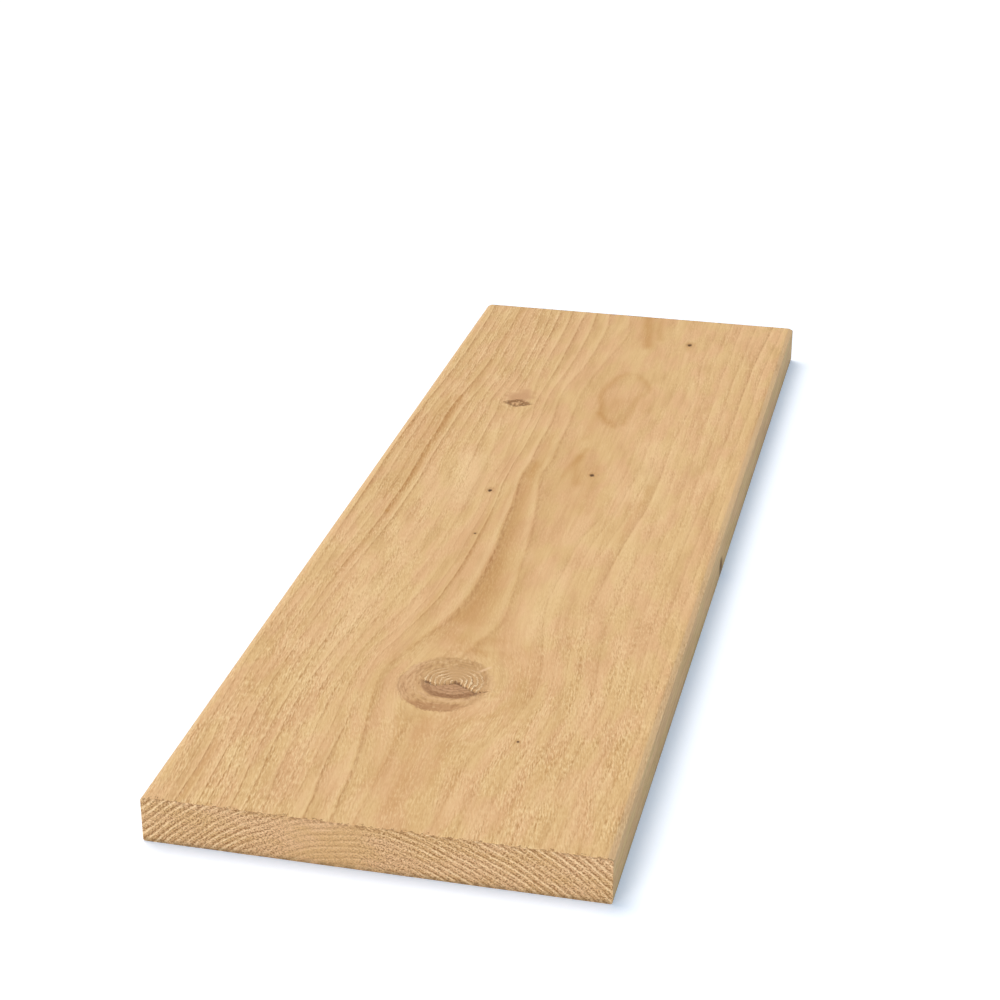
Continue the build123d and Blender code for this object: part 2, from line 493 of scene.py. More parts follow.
def cap_points(rim):
    """Points inside the sawn end, in a staggered grid clear of its rim."""
    rows = []
    levels = np.arange(CAP_STEP, THICK - 0.4 * CAP_STEP, CAP_ROW)
    for number, level in enumerate(levels):
        offset = 0.5 * CAP_STEP * (number % 2)
        across = np.arange(-HALF_WIDTH + CAP_STEP + offset, HALF_WIDTH - 0.7 * CAP_STEP, CAP_STEP)
        rows.append(np.column_stack([across, np.full(len(across), level)]))
    points = np.vstack(rows)
    gap = in_blocks(lambda p: np.sqrt(((p[:, None] - rim[None]) ** 2).sum(-1).min(1)), points, size=1000)
    return points[gap > CAP_CLEAR]


def cap_faces(rim, inner):
    """Triangles over a sawn end, whose corners count the rim's points first."""
    points = np.vstack([rim, inner])
    count = len(rim)
    edges = [(i, (i + 1) % count) for i in range(count)]
    result = delaunay_2d_cdt([Vector(p) for p in points.tolist()], edges, [], 1, 1e-7)
    source = [origins[0] for origins in result[3]]
    return [[source[corner] for corner in face] for face in result[2]]


# Share of the colour map's height for each stretch of the section, with more for the face
MAP_FACE = 0.535
MAP_EDGE = 0.055
MAP_BACK = 0.265
MAP_GAP = 0.006

# How far down from the face its own darkness and bands reach, and the darkness further down
FACE_DEPTH = 1.0
DARK_BELOW = 0.35
# A point this near to an end or an edge counts as on it
CLOSE = 0.01


def add_object(name, data):
    thing = bpy.data.objects.new(name, data)
    bpy.context.collection.objects.link(thing)
    return thing


def tube_quads(around):
    """Quads round the tube, whose corners count the section's points line by line."""
    here = np.arange(around)
    beside = (here + 1) % around
    ring = np.column_stack([beside, beside + around, here + around, here])
    return np.vstack([ring + line * around for line in range(len(LINES_X) - 1)])


def worked(place, rings_at_end, on_face, on_right):
    """The board's points after knots, checks and saw have left their relief."""
    x, y, z = place.T
    moved = place.copy()
    moved[on_face, 2] += face_relief(x[on_face], y[on_face])
    moved[on_right, 1] += edge_relief(x[on_right], z[on_right])
    # The sawn ends: worn earlywood, and a slightly torn rim
    worn = end_relief(rings_at_end, y, z)
    for sign in (-1, 1):
        at_end = np.abs(x - sign * HALF_LENGTH) < CLOSE
        moved[at_end, 0] -= sign * worn[at_end]
        torn_rim = at_end & on_face
        moved[torn_rim, 2] -= TORN_SHARE * worn[torn_rim]
    return moved


def build_plank():
    """The board's mesh: a tube of quads round the section, closed by two sawn ends."""
    ring_field = RingField()
    rim = section()
    around = len(rim)
    tube = around * len(LINES_X)
    inner = cap_points(rim)
    caps = len(inner)
    x = np.concatenate([np.repeat(LINES_X, around), np.repeat((-HALF_LENGTH, HALF_LENGTH), caps)])
    y, z = np.vstack([np.tile(rim, (len(LINES_X), 1)), inner, inner]).T
    rings = in_blocks(ring_field.at, x, y, z)
    dark = in_blocks(ring_field.darkness, x, y, in_blocks(ring_field.on_face, x, y))
    near_face = z > THICK - FACE_DEPTH

    # Fibre coordinate: y on the face and the back, and on round the section at the edges
    flow = grain_flow(x, y)
    edge_zone = np.abs(y) > HALF_WIDTH - ARRIS_WIDE
    flow = np.where(edge_zone, flow + np.sign(y) * (THICK - z), flow)

    place = np.column_stack([x, y, z])
    number = np.arange(len(x))
    on_face = (number < tube) & (number % around < len(LINES_Y))
    on_right = (number < tube) & (y < -HALF_WIDTH + CLOSE)
    sawn = end_rings(rings, y)
    moved = worked(place, sawn, on_face, on_right)

    quads = tube_quads(around)
    triangles = np.array(cap_faces(rim, inner))
    near_cap, far_cap = (
        facing(np.where(triangles < around, triangles + rim_start, triangles - around + start), moved, sign)
        for rim_start, start, sign in ((0, tube, -1), (tube - around, tube + caps, 1)))
    faces = quads.tolist() + near_cap.tolist() + far_cap.tolist()
    mesh = bpy.data.meshes.new("plank_wood")
    mesh.from_pydata((moved * MM).tolist(), [], faces)
    mesh.update()
    for name, values in {
        "place": place,
        "ring": rings,
        "end_ring": sawn,
        "dark": np.where(near_face, dark, DARK_BELOW),
        "flow": flow,
        "band": np.where(near_face, band_depth(x, y), 0),
    }.items():
        write_attribute(mesh, name, values)
    write_map(mesh, rim, quads, near_cap, far_cap, place)
    mesh.polygons.foreach_set("use_smooth", np.ones(len(faces), bool))
    mesh.polygons.foreach_set("material_index", np.repeat((0, 1), (len(quads), 2 * len(triangles))))
    sharpen_rims(mesh, around, tube)
    return add_object("plank_wood", mesh)


def facing(triangles, points, sign):
    """Turn the triangles so that they all face along sign times x."""
    a, b, c = (points[triangles[:, i]] for i in range(3))
    normal_x = np.cross(b - a, c - a)[:, 0]
    turned = triangles[:, ::-1]
    return np.where((normal_x * sign > 0)[:, None], triangles, turned)


def write_attribute(mesh, name, values):
    kind, field = ("FLOAT_VECTOR", "vector") if values.ndim == 2 else ("FLOAT", "value")
    attribute = mesh.attributes.new(name, kind, "POINT")
    attribute.data.foreach_set(field, np.ravel(values).astype(np.float32))


def sharpen_rims(mesh, around, tube):
    """Keep the sawn ends' rims and the eased arrises' lower corners sharp in the shading."""
    ends = np.empty(2 * len(mesh.edges), int)
    mesh.edges.foreach_get("vertices", ends)
    ends = ends.reshape(-1, 2)
    near = (ends < around).all(1)
    far = ((ends >= tube - around) & (ends < tube)).all(1)
    slot = ends % around
    along = (ends < tube).all(1) & (slot[:, 0] == slot[:, 1])
    right_corner = len(LINES_Y) - 1 + len(ARRIS_SHARES)
    left_corner = around - len(ARRIS_SHARES)
    corner = along & ((slot[:, 0] == right_corner) | (slot[:, 0] == left_corner))
    sharp = mesh.attributes.new("sharp_edge", "BOOLEAN", "EDGE")
    sharp.data.foreach_set("value", near | far | corner)


def write_map(mesh, rim, quads, near_cap, far_cap, place):
    """One flat map: the long faces as one sheet, unrolled, and the two ends above it."""
    closed = np.vstack([rim, rim[:1]])
    run = np.concatenate([[0], np.cumsum(np.hypot(*np.diff(closed, axis=0).T))])
    face_end = WIDTH - 2 * ARRIS_WIDE
    right_end = run[len(LINES_Y) - 1 + len(ARRIS_SHARES) + EDGE_STEPS + BACK_ARRIS_STEPS]
    back_end = right_end + 2 * (HALF_WIDTH - BACK_ARRIS)
    stops = (0, face_end, right_end, back_end, run[-1])
    heights = np.cumsum([MAP_GAP, MAP_FACE, MAP_EDGE, MAP_BACK, MAP_EDGE])
    level = np.interp(run, stops, heights)
    around = len(rim)
    u = MAP_GAP + (1 - 2 * MAP_GAP) * (place[:, 0] + HALF_LENGTH) / LENGTH
    # Each quad's slots on the section, where the last quads end at the map's top
    slots = np.tile(np.arange(around)[:, None] + (1, 1, 0, 0), (len(LINES_X) - 1, 1))
    rows = [np.column_stack([u[quads.ravel()], level[slots.ravel()]])]
    cap_base = heights[-1] + 2 * MAP_GAP
    cap_tall = 1 - MAP_GAP - cap_base
    cap_wide = 0.5 - 2 * MAP_GAP
    for start, cap in ((MAP_GAP, near_cap), (0.5 + MAP_GAP, far_cap)):
        at = place[cap.ravel()]
        across = start + cap_wide * (at[:, 1] + HALF_WIDTH) / WIDTH
        up = cap_base + cap_tall * at[:, 2] / THICK
        rows.append(np.column_stack([across, up]))
    layer = mesh.uv_layers.new(name="OFBake")
    layer.data.foreach_set("uv", np.vstack(rows).ravel().astype(np.float32))


def paint(red, green, blue):
    """A colour given as its 0 to 255 screen values, in Blender's linear values."""
    values = [channel / 255 for channel in (red, green, blue)]
    linear = [v / 12.92 if v <= 0.04045 else ((v + 0.055) / 1.055) ** 2.4 for v in values]
    return (*linear, 1.0)


def operator(kind, swapped=False):
    """An operator between two signals, or a signal and a number, as a math node of this kind."""
    def combine(signal, other):
        pair = (other, signal) if swapped else (signal, other)
        return signal.nodes.math(kind, *pair)
    return combine


class Signal:
    """A node's output, with which sums and products make new nodes."""

    def __init__(self, nodes, socket):
        self.nodes = nodes
        self.socket = socket

    __add__, __radd__ = operator("ADD"), operator("ADD", True)
    __sub__, __rsub__ = operator("SUBTRACT"), operator("SUBTRACT", True)
    __mul__, __rmul__ = operator("MULTIPLY"), operator("MULTIPLY", True)
    __truediv__, __rtruediv__ = operator("DIVIDE"), operator("DIVIDE", True)
    __pow__ = operator("POWER")

    def __abs__(self):
        return self.nodes.math("ABSOLUTE", self)


class Nodes:
    """Short calls for the nodes of a material or a world. A value is a number, a colour or a signal."""

    def __init__(self, owner):
        owner.use_nodes = True
        self.owner = owner
        self.tree = owner.node_tree
        self.tree.nodes.clear()

    def node(self, kind, values, output=0, **settings):
        """A new node with these settings, and values for its inputs by name or number."""
        node = self.tree.nodes.new("ShaderNode" + kind)
        for key, value in settings.items():
            setattr(node, key, value)
        for key, value in values.items():
            if isinstance(value, Signal):
                self.tree.links.new(value.socket, node.inputs[key])
            else:
                node.inputs[key].default_value = value
        return Signal(self, node.outputs[output])

    def math(self, operation, *values, clamp=False):
        return self.node("Math", dict(enumerate(values)), operation=operation, use_clamp=clamp)

    def length(self, a, b):
        return self.math("SQRT", a * a + b * b)

    def step(self, value, start, end, low=0.0, high=1.0):
        values = {"Value": value, "From Min": start, "From Max": end, "To Min": low, "To Max": high}
        return self.node("MapRange", values, interpolation_type="SMOOTHSTEP")

    def mix(self, share, first, second, blend="MIX"):
        values = {0: share, 6: first, 7: second}
        return self.node("Mix", values, 2, data_type="RGBA", blend_type=blend)

    def coats(self, colour, *layers):
        """Lay layers over a colour, each with how much it shows and its own colour."""
        for share, shade in layers:
            colour = self.mix(share, colour, shade)
        return colour

    def attribute(self, name, output="Fac"):
        return self.node("Attribute", {}, output, attribute_name=name)

    def place(self):
        """The place on the board as its three parts, in millimetres."""
        first = self.node("SeparateXYZ", {0: self.attribute("place", "Vector")})
        return [Signal(self, output) for output in first.socket.node.outputs]

    def join(self, x=0.0, y=0.0, z=0.0):
        return self.node("CombineXYZ", {0: x, 1: y, 2: z})

    def noise(self, vector, detail=2.0, rough=0.5):
        values = {"Vector": vector, "Scale": 1.0, "Detail": detail, "Roughness": rough}
        return self.node("TexNoise", values, "Fac")

    def ray(self, kind):
        return self.node("LightPath", {}, f"Is {kind} Ray")

    def finish(self, colour, rough, height):
        """The material of a colour, a roughness and a fine relief in millimetres."""
        normal = self.node("Bump", {"Strength": 1.0, "Distance": MM, "Height": height})
        values = {"Base Color": colour, "Roughness": rough, "Normal": normal, "Specular IOR Level": GLOSS}
        return self.show("Material", self.node("BsdfPrincipled", values))

    def show(self, kind, shader):
        """Send a shader to the output, and give the material or world."""
        self.tree.links.new(shader.socket, self.tree.nodes.new("ShaderNodeOutput" + kind).inputs[0])
        return self.owner


PALE_YELLOW = paint(225, 185, 128)
PALE_PINK = paint(227, 181, 131)
LATEWOOD = paint(164, 108, 54)
BAND_BROWN = paint(200, 149, 87)
STREAK_DARK = paint(181, 131, 75)
STREAK_LIGHT = paint(251, 219, 165)
# A painted highlight: the sheen on the eased arrises
ARRIS_HIGHLIGHT = paint(226, 190, 144)
GLOSS = 0.28
# The long edges are tinted a little greener than the face
EDGE_TONE = (0.97, 1.0, 0.91, 1.0)


class PlanedWood:
    """The planed faces: growth rings, fibre streaks, soft patches of tone, and the knots."""

    def __init__(self):
        n = self.n = Nodes(bpy.data.materials.new("planed_wood"))
        self.x, self.y, self.z = n.place()
        self.ring, self.dark, self.flow, self.band = map(n.attribute, ("ring", "dark", "flow", "band"))
        self.deep = THICK - self.z
        self.mottle = self.speckle(0.14, 2.0) - 0.5
        self.ragged = self.speckle(0.75, 2.0) - 0.5

    def speckle(self, scale, detail):
        """Even noise in the face's plane."""
        n = self.n
        return n.noise(n.join(self.x * scale, self.y * scale, self.z * scale), detail)

    def grain(self, long, wide, slant=0.0, shift=0.0, detail=2.0, rough=0.5):
        """Noise whose unit is long along the fibres and wide across them."""
        across = self.flow + self.x * slant + shift
        return self.n.noise(self.n.join(self.x / long, across / wide, self.z * 0.1), detail, rough)

    def rings(self):
        """How much latewood shows, from 0 to 1: a thin line that closes each ring, and a soft
        band before it."""
        n = self.n
        sway = self.grain(60, 8) - 0.5
        fray = self.grain(9, 1.0, -0.12) - 0.5
        share = n.math("FRACT", self.ring + sway * 0.12 + fray * 0.09)
        fall = n.step(share, 0.95, 1.0, 1.0, 0.0)
        line = n.step(share, 0.8, 0.94) * fall
        closing = n.step(share, 0.35, 0.97) * fall
        broken = n.step(self.grain(5, 1.3, -0.14, 5.0), 0.36, 0.6, 0.15, 1.2)
        near = n.step(self.x, -120.0, -230.0)
        thin = line * broken * (0.28 + near * 0.24)
        soft = closing * (0.34 - near * 0.15) * (0.5 + broken * 0.55)
        after = n.step(share, 0.0, 0.05) * n.step(share, 0.32, 0.08) * self.dark
        late = (thin + soft) * self.dark
        return late, after, closing

    def wood(self):
        """The clear wood's colour, and its height in millimetres, without knots."""
        n = self.n
        late, after, closing = self.rings()
        tone = self.grain(36, 12, 0.0, 11.0)
        patch = self.grain(42, 9, -0.05, 3.0)
        streak = self.grain(50, 1.9, -0.02, 0.0, 3.0)
        fleck = self.grain(3.5, 0.72, -0.17, 0.0, 1.5, 0.6)
        thread = self.grain(14.0, 0.9, -0.05, 31.0, 1.5, 0.6)
        colour = n.coats(
            n.mix(n.step(tone, 0.38, 0.62), PALE_YELLOW, PALE_PINK),
            (n.step(patch, 0.5, 0.68) * 0.2, STREAK_DARK),
            (n.step(patch, 0.5, 0.34) * 0.16, STREAK_LIGHT),
            (n.step(streak, 0.5, 0.66) * 0.14, STREAK_DARK),
            (n.math("MULTIPLY", self.band, 0.95, clamp=True), BAND_BROWN),
            (n.math("MULTIPLY", self.band, -0.7, clamp=True), STREAK_LIGHT),
            (late, LATEWOOD),
            (after * 0.3, STREAK_LIGHT),
            # Painted highlight: the sheen on the eased arrises
            (self.arris() * 0.8, ARRIS_HIGHLIGHT),
        )
        crowd = self.fleck_strength()
        near = n.step(self.x, 150.0, -120.0)
        on_line = 0.7 + closing * 0.7
        for grain, far_share, near_share in ((fleck, 0.32, 0.42), (thread, 0.26, 0.14)):
            share = crowd * (far_share + near * (near_share - far_share))
            colour = n.mix(n.step(grain, 0.52, 0.64) * share * on_line, colour, STREAK_DARK)
            colour = n.mix(n.step(grain, 0.48, 0.36) * share, colour, STREAK_LIGHT)
        beside = n.step(abs(self.y), HALF_WIDTH - 0.6, HALF_WIDTH - 0.2)
        edge = beside * n.step(self.z, SHOULDER - 0.01, SHOULDER - 0.06)
        colour = n.mix(edge, colour, EDGE_TONE, "MULTIPLY")
        grain = (0.5 - fleck) * 0.15 + (0.5 - thread) * 0.08
        height = grain * crowd + late * 0.02 - streak * 0.06
        return colour, height

    def arris(self):
        """Where a painted highlight lies on the face's eased arrises, as their sheen: strongest at their
        lower corner.
        """
        n = self.n
        out = n.step(abs(self.y), HALF_WIDTH - ARRIS_WIDE, HALF_WIDTH - ARRIS_WIDE + 0.6)
        corner = n.step(self.z, SHOULDER + 0.45, SHOULDER + 0.1, 0.7, 1.0)
        return out * n.step(self.z, SHOULDER - 0.06, SHOULDER - 0.01) * corner

    def fleck_strength(self):
        """Flecks crowd towards the edges and the near end, most at the far left and the near right,
        and come in patches."""
        n = self.n
        out = n.step(abs(self.y), 22.0, 58.0, 0.0, 0.23)
        left = n.step(self.y, 25.0, 60.0) * n.step(self.x, 150.0, 230.0, 0.24, 0.4)
        right = n.step(self.y, -15.0, -40.0) * n.step(self.x, -60.0, -170.0, 0.0, 0.2)
        near = n.step(self.x, -100.0, -230.0, 0.0, 0.3)
        patches = n.step(self.grain(30, 11, 0.0, 23.0), 0.38, 0.6, 0.55, 1.3)
        side = n.step(self.z, SHOULDER, SHOULDER - 1.0, 1.0, 0.45)
        return (0.27 + out + left + right + near) * patches * side

    def around(self, middle, scale_x=1.0, scale_y=1.0):
        """Place from a knot's middle: the knot narrows towards the pith below."""
        reach = 1.0 / (1.0 - self.deep / (THICK - PITH_Z))
        along = (self.x - middle[0]) * reach / scale_x
        drift = self.deep * ((middle[1] - PITH_Y) / (THICK - PITH_Z))
        across = (self.y - middle[1] + drift) * reach / scale_y
        return along, across

    def knot_bark(self, colour):
        """The big knot's outer disc: brown, darker at its foot, with broken arcs and dashes."""
        n = self.n
        along, across = self.around(BIG_KNOT, *BIG_KNOT_RADII)
        disc = n.length(along, across)
        arcs = self.knot_arcs(disc)
        dash = self.grain(4.5, 1.0, -0.08, 47.0, 2.0, 0.6) - 0.5
        edge = disc + self.mottle * 0.12 + self.ragged * 0.16 + dash * 0.14
        inside = n.step(edge, n.step(across, -0.3, -0.9, 0.95, 0.8), 1.02, 1.0, 0.0)
        foot = n.step(along, -0.62, -0.78) * n.step(across, -0.9, -0.5)
        darker = n.step(along, -0.7, -0.9) * n.step(across, -0.2, 0.25)
        bark = n.coats(
            n.mix(n.step(along, 0.45, -0.2), paint(200, 157, 105), paint(210, 166, 114)),
            (n.step(across, 0.4, 0.8) * 0.9, paint(211, 165, 119)),
            (n.step(across, -0.4, -0.75) * 0.6, paint(200, 155, 106)),
            (foot * 0.95, paint(192, 143, 96)),
            (darker * 0.5, paint(166, 116, 72)),
            (n.step(arcs, 0.05, 0.16, 0.0, 0.42), paint(160, 115, 72)),
            (n.step(arcs, -0.07, -0.18, 0.0, 0.34), paint(234, 196, 148)),
            (n.step(dash, 0.02, 0.16, 0.0, 0.5), paint(164, 115, 70)),
            (n.step(dash, -0.04, -0.16, 0.0, 0.36), paint(236, 198, 148)),
        )
        faint = n.step(across, -0.55, -0.95, 0.96, 0.8)
        colour = n.mix(inside * faint, colour, bark)
        # A pale ray that cuts the disc towards its upper right
        ray_x = self.x - RAY_AT[0]
        ray_y = self.y - RAY_AT[1]
        long = abs(ray_x * 0.8 - ray_y * 0.6)
        wide = abs(ray_x * 0.6 + ray_y * 0.8 + self.ragged)
        ray = n.step(wide, 1.1, 0.5) * n.step(long, 5.5, 3.5) * n.step(self.deep, 4.0, 1.0)
        return n.mix(ray * 0.6, colour, paint(240, 200, 156))

    def knot_arcs(self, disc):
        """Broken arcs round the big knot's pith, which bend out to the disc's own outline."""
        n = self.n
        along, across = self.around(BIG_KNOT_PITH)
        rho = n.math("MAXIMUM", n.length(along, across), 0.5)
        spread = n.step(rho, 6.0, 20.0)
        inner = rho / BIG_KNOT_RADII[1]
        turn = inner + (disc - inner) * spread
        place = n.join(along / rho * 1.7, across / rho * 1.7, turn * 19.0)
        return n.noise(place, 2.0, 0.6) - 0.5

    def knot_heart(self, colour, height):
        """The big knot's heart: its own rings round a dark pith, cut by the drying check."""
        n = self.n
        along, across = self.around(BIG_KNOT_PITH)
        plain = n.length(along, across)
        rho = plain + self.mottle * 3.0 + self.ragged * 1.6
        foot = n.step(along, 0.0, -8.0, 0.0, 1.4)
        heart = n.step(rho - foot, BIG_KNOT_HEART - 1.2, BIG_KNOT_HEART + 0.3, 1.0, 0.0)
        turn = n.math("FRACT", rho / KNOT_RING_PITCH)
        ridge = n.step(turn, 0.3, 0.48) * n.step(turn, 0.72, 0.56)
        groove = n.step(turn, 0.7, 0.84) * n.step(turn, 1.0, 0.88)
        over = self.x - self.check_place()
        upper = n.step(over + self.ragged * 5.0, -1.0, 0.8)
        side = abs(across) / n.math("MAXIMUM", plain, 1.0)
        faded = n.step(side, 0.3, 0.8, 0.12, 1.0) * n.step(self.mottle, -0.1, 0.08, 0.35, 1.0)
        # The upper half: pale proud ring ridges, partly their own colour and partly a painted highlight,
        # with dark grooves between
        light = n.coats(
            paint(203, 160, 110),
            (ridge * faded * 0.95, paint(255, 224, 179)),
            (groove * faded * 0.66, paint(158, 111, 68)),
        )
        brown = n.coats(
            paint(189, 143, 102),
            (ridge * n.step(self.mottle, -0.1, 0.1, 0.3, 0.8), paint(216, 171, 130)),
            (groove * 0.42, paint(148, 102, 64)),
            (n.step(self.ragged, 0.0, 0.16, 0.0, 0.4), paint(144, 98, 60)),
        )
        wood = n.mix(upper, brown, light)
        colour = n.mix(heart * n.step(rho, BIG_KNOT_HEART, 8.0, 0.6, 1.0), colour, wood)
        below = (1.0 - upper) * n.step(along, 1.0, -3.0)
        crescent = n.step(rho, 9.8, 12.6) * n.step(rho, 16.2, 14.0) * below
        patchy = n.step(across, 13.0, 4.0, 0.45, 1.0) * n.step(self.ragged, -0.16, 0.06, 0.65, 1.0)
        colour = n.mix(crescent * patchy, colour, paint(156, 110, 70))
        outer = n.step(rho, 16.0, 16.8) * n.step(rho, 18.9, 17.8) * n.step(along, -9.0, -13.0)
        colour = n.mix(outer * 0.4, colour, paint(230, 186, 140))
        spot = n.step(n.length(along, across + 0.8), 1.5, 0.3)
        dark = n.math("MAXIMUM", self.check_mark(over), spot * n.step(self.deep, 9.0, 2.0))
        colour = n.mix(dark * 0.7, colour, paint(112, 74, 42))
        relief = heart * (ridge - groove * 0.6) * (0.03 + upper * faded * 0.09)
        return colour, height * (1.0 - heart * 0.7) + relief

    def check_mark(self, over):
        """The drying check's dark, ragged trace, and crumbs of bark beside it."""
        n = self.n
        gap = abs(over + self.ragged * 3.0)
        span = n.step(self.y, -21.0, -17.5) * n.step(self.y, 12.0, 9.0)
        width = 0.9 + self.mottle * 1.6
        slit = n.step(gap, width, 0.2) * span * n.step(self.deep, 12.0, 2.0)
        crumbs_off = n.length(self.x - CRUMBS_AT[0], (self.y - CRUMBS_AT[1]) * 0.8)
        crumb = n.step(self.speckle(0.5, 3.0), 0.54, 0.66) * n.step(crumbs_off, 7.0, 3.0)
        return slit + crumb * 0.6

    def check_place(self):
        """Where along the board the drying check lies, by the same points as the relief."""
        n = self.n
        points = sorted((across, along) for along, across in CHECK)
        start, end = points[0][0], points[-1][0]
        base, span = -190.0, 14.0
        share = n.math("DIVIDE", self.y - start, end - start, clamp=True)
        curve = n.node("FloatCurve", {"Value": share})
        mapping = curve.socket.node.mapping
        line = mapping.curves[0]
        for across, along in points[1:-1]:
            line.points.new((across - start) / (end - start), (along - base) / span)
        line.points[0].location = (0.0, (points[0][1] - base) / span)
        line.points[-1].location = (1.0, (points[-1][1] - base) / span)
        mapping.update()
        return curve * span + base

    def small_knot(self, colour):
        """The small knot: a dark lens-shaped rim round a pale core, and a warm plume beyond it."""
        n = self.n
        along, across = self.around(SMALL_KNOT, *SMALL_KNOT_RADII)
        plume_x, plume_y = self.around((SMALL_KNOT[0] + 9, SMALL_KNOT[1] + 1.0), 13, 9.5)
        plume = n.step(n.length(plume_x, plume_y) + self.mottle * 1.4, 1.15, 0.2)
        colour = n.mix(plume * 0.85, colour, paint(202, 153, 108))
        wide = abs(across) ** 1.2
        tall = abs(along) ** 1.4
        far = wide + tall + self.ragged * 1.1 + self.mottle * 0.6
        body = n.step(far, 1.4, 0.7)
        core = n.step(far + self.ragged * 1.4, 0.46, 0.1)
        tint = n.mix(core, paint(138, 94, 50), paint(212, 167, 117))
        return n.mix(body * 0.86, colour, tint)

    def pin_knots(self, colour):
        n = self.n
        near_face = n.step(self.deep, 6.0, 2.0)
        for pin_x, pin_y, half_long, half_wide in PIN_KNOTS:
            far = n.length(*self.around((pin_x, pin_y), half_long, half_wide))
            colour = n.mix(n.step(far, 2.8, 0.9) * near_face * 0.35, colour, STREAK_DARK)
            colour = n.mix(n.step(far, 1.15, 0.4) * near_face * 0.92, colour, paint(84, 52, 24))
        return colour

    def edge_knot(self, colour):
        n = self.n
        along = (self.x - EDGE_KNOT[0]) * (0.78 / EDGE_KNOT_RADIUS)
        up = (self.z - (EDGE_KNOT[1] - 1.8)) / EDGE_KNOT_RADIUS
        far = n.length(along, up) + self.mottle * 0.4
        body = n.step(far, 1.3, 0.45) * n.step(self.y, -HALF_WIDTH + 6, -HALF_WIDTH + 1)
        return n.mix(body * 0.92, colour, paint(134, 100, 60))

    def torn_ends(self, colour):
        """Small dark tears in the face's earlywood, where the saw left it."""
        n = self.n
        to_end = HALF_LENGTH - abs(self.x)
        tear = n.noise(n.join(self.x * 0.5, self.y * 0.42, self.z), 2.0, 0.7)
        reach = n.step(tear, 0.48, 0.7, -0.2, 2.2)
        return n.mix(n.step(to_end - reach, 0.4, -0.4) * 0.7, colour, paint(140, 96, 54))

    def material(self):
        n = self.n
        colour, height = self.wood()
        colour = self.knot_bark(colour)
        colour, height = self.knot_heart(colour, height)
        colour = self.small_knot(colour)
        colour = self.pin_knots(colour)
        colour = self.edge_knot(colour)
        colour = self.torn_ends(colour)
        rough = n.step(height, -0.1, 0.1, 0.68, 0.56)
        return n.finish(colour, rough, height)


def sawn_end():
    """The sawn ends: proud latewood ridges painted pale, partly as a painted highlight, with rough brown
    earlywood between them, darkened partly by painted shade in its worn hollows.
    """
    n = Nodes(bpy.data.materials.new("sawn_end"))
    ring = n.attribute("end_ring")
    side, y, z = n.place()

    def grit(size_y, size_z, detail, shift):
        return n.noise(n.join(y / size_y, z / size_z, side + shift), detail, 0.6)

    sway = grit(16, 9, 2.0, 0.0) - 0.5
    fray = grit(1.5, 0.8, 1.5, 3.0) - 0.5
    share = n.math("FRACT", ring + sway * 0.36 + fray * 0.36)
    ridge = n.step(share, 0.58, 0.74) * n.step(share, 0.96, 0.84)
    groove = n.step(share, 0.0, 0.06) * n.step(share, 0.34, 0.16)
    edges = n.step(abs(y - 18.0), 16.0, 46.0, 0.3, 1.15)
    patchy = n.step(grit(22, 10, 2.0, 9.0), 0.4, 0.58, 0.45, 1.0) * edges
    # Specks lie in dashes along the rings, with plain dots among them
    dash = n.noise(n.join(ring * 4.6, y * 0.55, side + 13.0), 2.0, 0.6)
    turned = n.join(y * 1.1 + z * 0.7, z * 1.3 - y * 0.65, side + 29.0)
    specks = dash * 0.28 + n.noise(turned, 1.5, 0.6) * 0.72
    calm = n.step(abs(y - 20.0), 8.0, 26.0, 0.5, 1.1)
    # Sunk pits are painted dark and raised specks pale, partly as painted shade and painted highlight
    pits = n.step(specks, 0.5, 0.6) * calm * (1.0 - ridge * patchy * 0.6)
    broken = n.step(grit(3.2, 1.2, 2.0, 51.0), 0.36, 0.54, 0.3, 1.0)
    # The worn earlywood hollows: their own brown, deepened by painted shade
    hollow = groove * (0.22 + patchy * 0.58) * broken
    # Painted contact shade: darker towards the bottom of the end, where it stands on the floor
    foot = n.step(z, 2.6, 0.2) * n.step(grit(3.5, 1.6, 2.0, 31.0), 0.36, 0.6, 0.25, 1.0)
    head = n.step(z, THICK - 2.0, THICK - 0.3) * n.step(grit(2.4, 3.0, 1.0, 41.0), 0.46, 0.6)
    colour = n.coats(
        n.mix(n.step(grit(30, 12, 2.0, 5.0), 0.4, 0.6), paint(216, 174, 121), paint(223, 180, 134)),
        (hollow, paint(160, 112, 64)),
        # The proud ridges' pale paint is partly a painted highlight
        (ridge * patchy * broken * 0.92, paint(253, 219, 171)),
        (pits * 0.8, paint(148, 102, 58)),
        (n.step(specks, 0.46, 0.36) * calm * 0.68, paint(252, 218, 170)),
        (foot * 0.6, paint(130, 104, 68)),
        (head * 0.55, paint(140, 96, 54)),
    )
    height = ridge * patchy * 0.05 - specks * calm * 0.28
    return n.finish(colour, 0.72, height)


def make_board():
    plank = build_plank()
    plank.data.materials.append(PlanedWood().material())
    plank.data.materials.append(sawn_end())
    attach(plank, "root")
    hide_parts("plank")


# The camera's place in millimetres, and the way it looks, in degrees
CAMERA_AT = (-1019.6, -222.9, 512.5)
CAMERA_TURN = 13.332
CAMERA_DOWN = 24.886
FOCAL_PIXELS = 2246.4
FRAME_PIXELS = 1000
SENSOR = 36.0


def aim(thing, way):
    """Turn a camera or a lamp to look along way."""
    thing.rotation_euler = way.to_track_quat("-Z", "Y").to_euler()


def make_camera():
    data = bpy.data.cameras.new("camera")
    data.sensor_width = SENSOR
    data.sensor_fit = "HORIZONTAL"
    data.lens = SENSOR * FOCAL_PIXELS / FRAME_PIXELS
    data.clip_start = 0.02
    camera = add_object("camera", data)
    turn, down = math.radians(CAMERA_TURN), math.radians(CAMERA_DOWN)
    ahead = Vector((math.cos(down) * math.cos(turn), math.cos(down) * math.sin(turn), -math.sin(down)))
    camera.location = Vector(CAMERA_AT) * MM
    aim(camera, ahead)
    bpy.context.scene.camera = camera


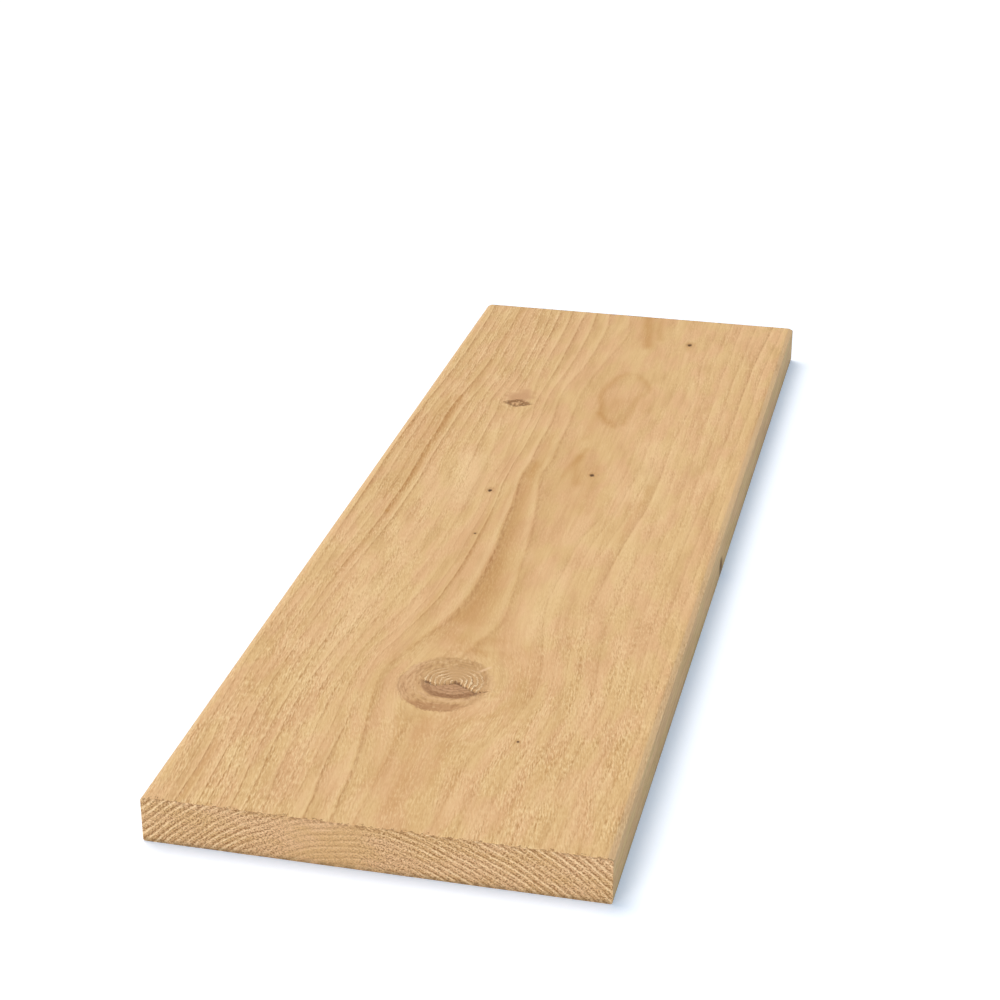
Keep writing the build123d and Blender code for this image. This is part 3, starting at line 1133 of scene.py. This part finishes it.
def soft_sun(name, toward, strength, spread, colour):
    """Even light from one side: toward points from the board to the light."""
    data = bpy.data.lights.new(name, "SUN")
    data.energy = strength
    data.angle = math.radians(spread)
    data.color = colour
    aim(add_object(name, data), -Vector(toward))


AMBIENT = (0.70, 0.84, 1.0, 1.0)
AMBIENT_STRENGTH = 0.45
WHITE = (1.0, 1.0, 1.0, 1.0)
FLOOR_SIZE = 12.0
FLOOR_TINT = (0.90, 0.91, 0.93, 1.0)
FLOOR_LIFT = (0.585, 0.77, 1.0, 1.0)
FLOOR_LIFT_STRENGTH = 0.335


def make_floor():
    """A pale floor that the camera sees as white, and that keeps the board's shadow."""
    half = FLOOR_SIZE / 2
    corners = [(-half, -half, 0), (half, -half, 0), (half, half, 0), (-half, half, 0)]
    mesh = bpy.data.meshes.new("floor")
    mesh.from_pydata(corners, [], [(0, 1, 2, 3)])
    floor = add_object("floor", mesh)
    n = Nodes(bpy.data.materials.new("floor_paint"))
    seen = n.math("MAXIMUM", n.math("MAXIMUM", n.ray("Camera"), n.ray("Glossy")), n.ray("Transmission"))
    diffuse = n.node("BsdfDiffuse", {"Color": FLOOR_TINT})
    lift = n.node("Emission", {"Color": FLOOR_LIFT, "Strength": seen * FLOOR_LIFT_STRENGTH})
    both = n.node("AddShader", {0: diffuse, 1: lift})
    mesh.materials.append(n.show("Material", both))


def make_world():
    """Even pale light from all round, which the camera sees as white."""
    world = bpy.data.worlds.new("studio")
    bpy.context.scene.world = world
    n = Nodes(world)
    light = n.node("Background", {"Color": AMBIENT, "Strength": AMBIENT_STRENGTH})
    white = n.node("Background", {"Color": WHITE, "Strength": 1.0})
    n.show("World", n.node("MixShader", {0: n.ray("Camera"), 1: light, 2: white}))


def make_studio():
    make_world()
    make_floor()
    soft_sun("key", (0.27, 0.37, 1.0), 2.05, 34.0, (1.0, 0.92, 0.83))
    soft_sun("front", (-1.0, 0.45, 0.22), 1.35, 30.0, (1.0, 0.95, 0.88))
    bpy.context.scene.view_settings.view_transform = "Standard"


make_camera()
make_studio()
make_board()
